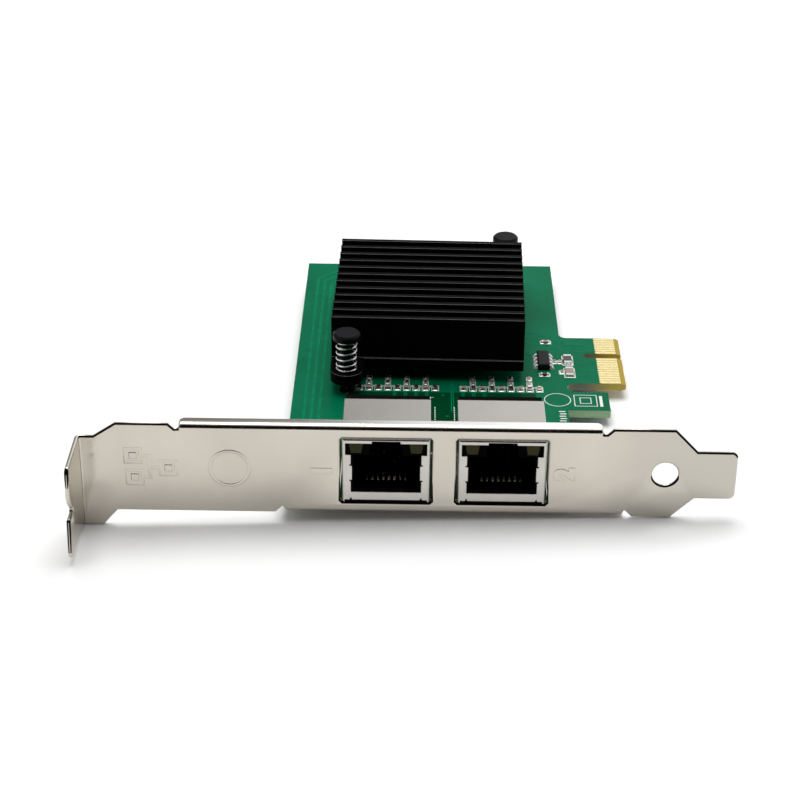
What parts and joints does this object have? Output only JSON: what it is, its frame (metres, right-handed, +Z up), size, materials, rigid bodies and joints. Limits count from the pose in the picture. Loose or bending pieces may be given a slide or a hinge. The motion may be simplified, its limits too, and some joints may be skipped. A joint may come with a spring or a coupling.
{
  "type": "network interface card",
  "caption": "Network card on a full-height slot bracket, with side-by-side network jacks, a black finned heatsink held by sprung pins, and a gold edge connector.",
  "frame": {"origin": "middle of the key notch, on the board's slot edge, on the component face", "axes": "+X into the slot, +Y away from the bracket, +Z up from the component face"},
  "size_m": [0.12, 0.1174, 0.0216],
  "materials": {
    "bracket_steel": "nickel-plated, satin",
    "screw_steel": "zinc-plated",
    "board_green": "glass-epoxy board with a glossy green mask",
    "gold": "gold plate",
    "shield_metal": "nickel-plated, satin",
    "black_plastic": "moulded, matt",
    "lens": "smoked, clear",
    "lead_metal": "tinned",
    "black_aluminium": "black anodised",
    "pad": "soft thermal pad",
    "chip_black": "moulded epoxy",
    "pin_black": "moulded nylon",
    "spring_steel": "bright",
    "resistor_black": "glazed top",
    "capacitor_brown": "matt",
    "tantalum_yellow": "moulded",
    "can_steel": "satin"
  },
  "bodies": {
    "root": {"bracket": "bracket_steel", "bracket_screws": "screw_steel", "circuit_board": "board_green", "edge_contacts": "gold", "heatsink": "black_aluminium", "controller_chip": "chip_black", "thermal_pad": "pad", "crystal": "can_steel", "memory_chip": "chip_black", "memory_chip_leads": "lead_metal", "resistors": "resistor_black", "resistor_caps": "lead_metal", "capacitors": "capacitor_brown", "capacitor_caps": "lead_metal", "regulators": "chip_black", "regulator_leads": "lead_metal", "tantalum_capacitors": "tantalum_yellow", "tantalum_leads": "lead_metal", "push_pin_front": "pin_black", "spring_front": "spring_steel", "push_pin_rear": "pin_black", "spring_rear": "spring_steel", "jack_1_shield": "shield_metal", "jack_1_housing": "black_plastic", "jack_1_carrier": "black_plastic", "jack_1_contacts": "gold", "jack_1_lenses": "lens", "jack_1_lamp_leads": "lead_metal", "jack_2_shield": "shield_metal", "jack_2_housing": "black_plastic", "jack_2_carrier": "black_plastic", "jack_2_contacts": "gold", "jack_2_lenses": "lens", "jack_2_lamp_leads": "lead_metal"}
  },
  "joints": []
}
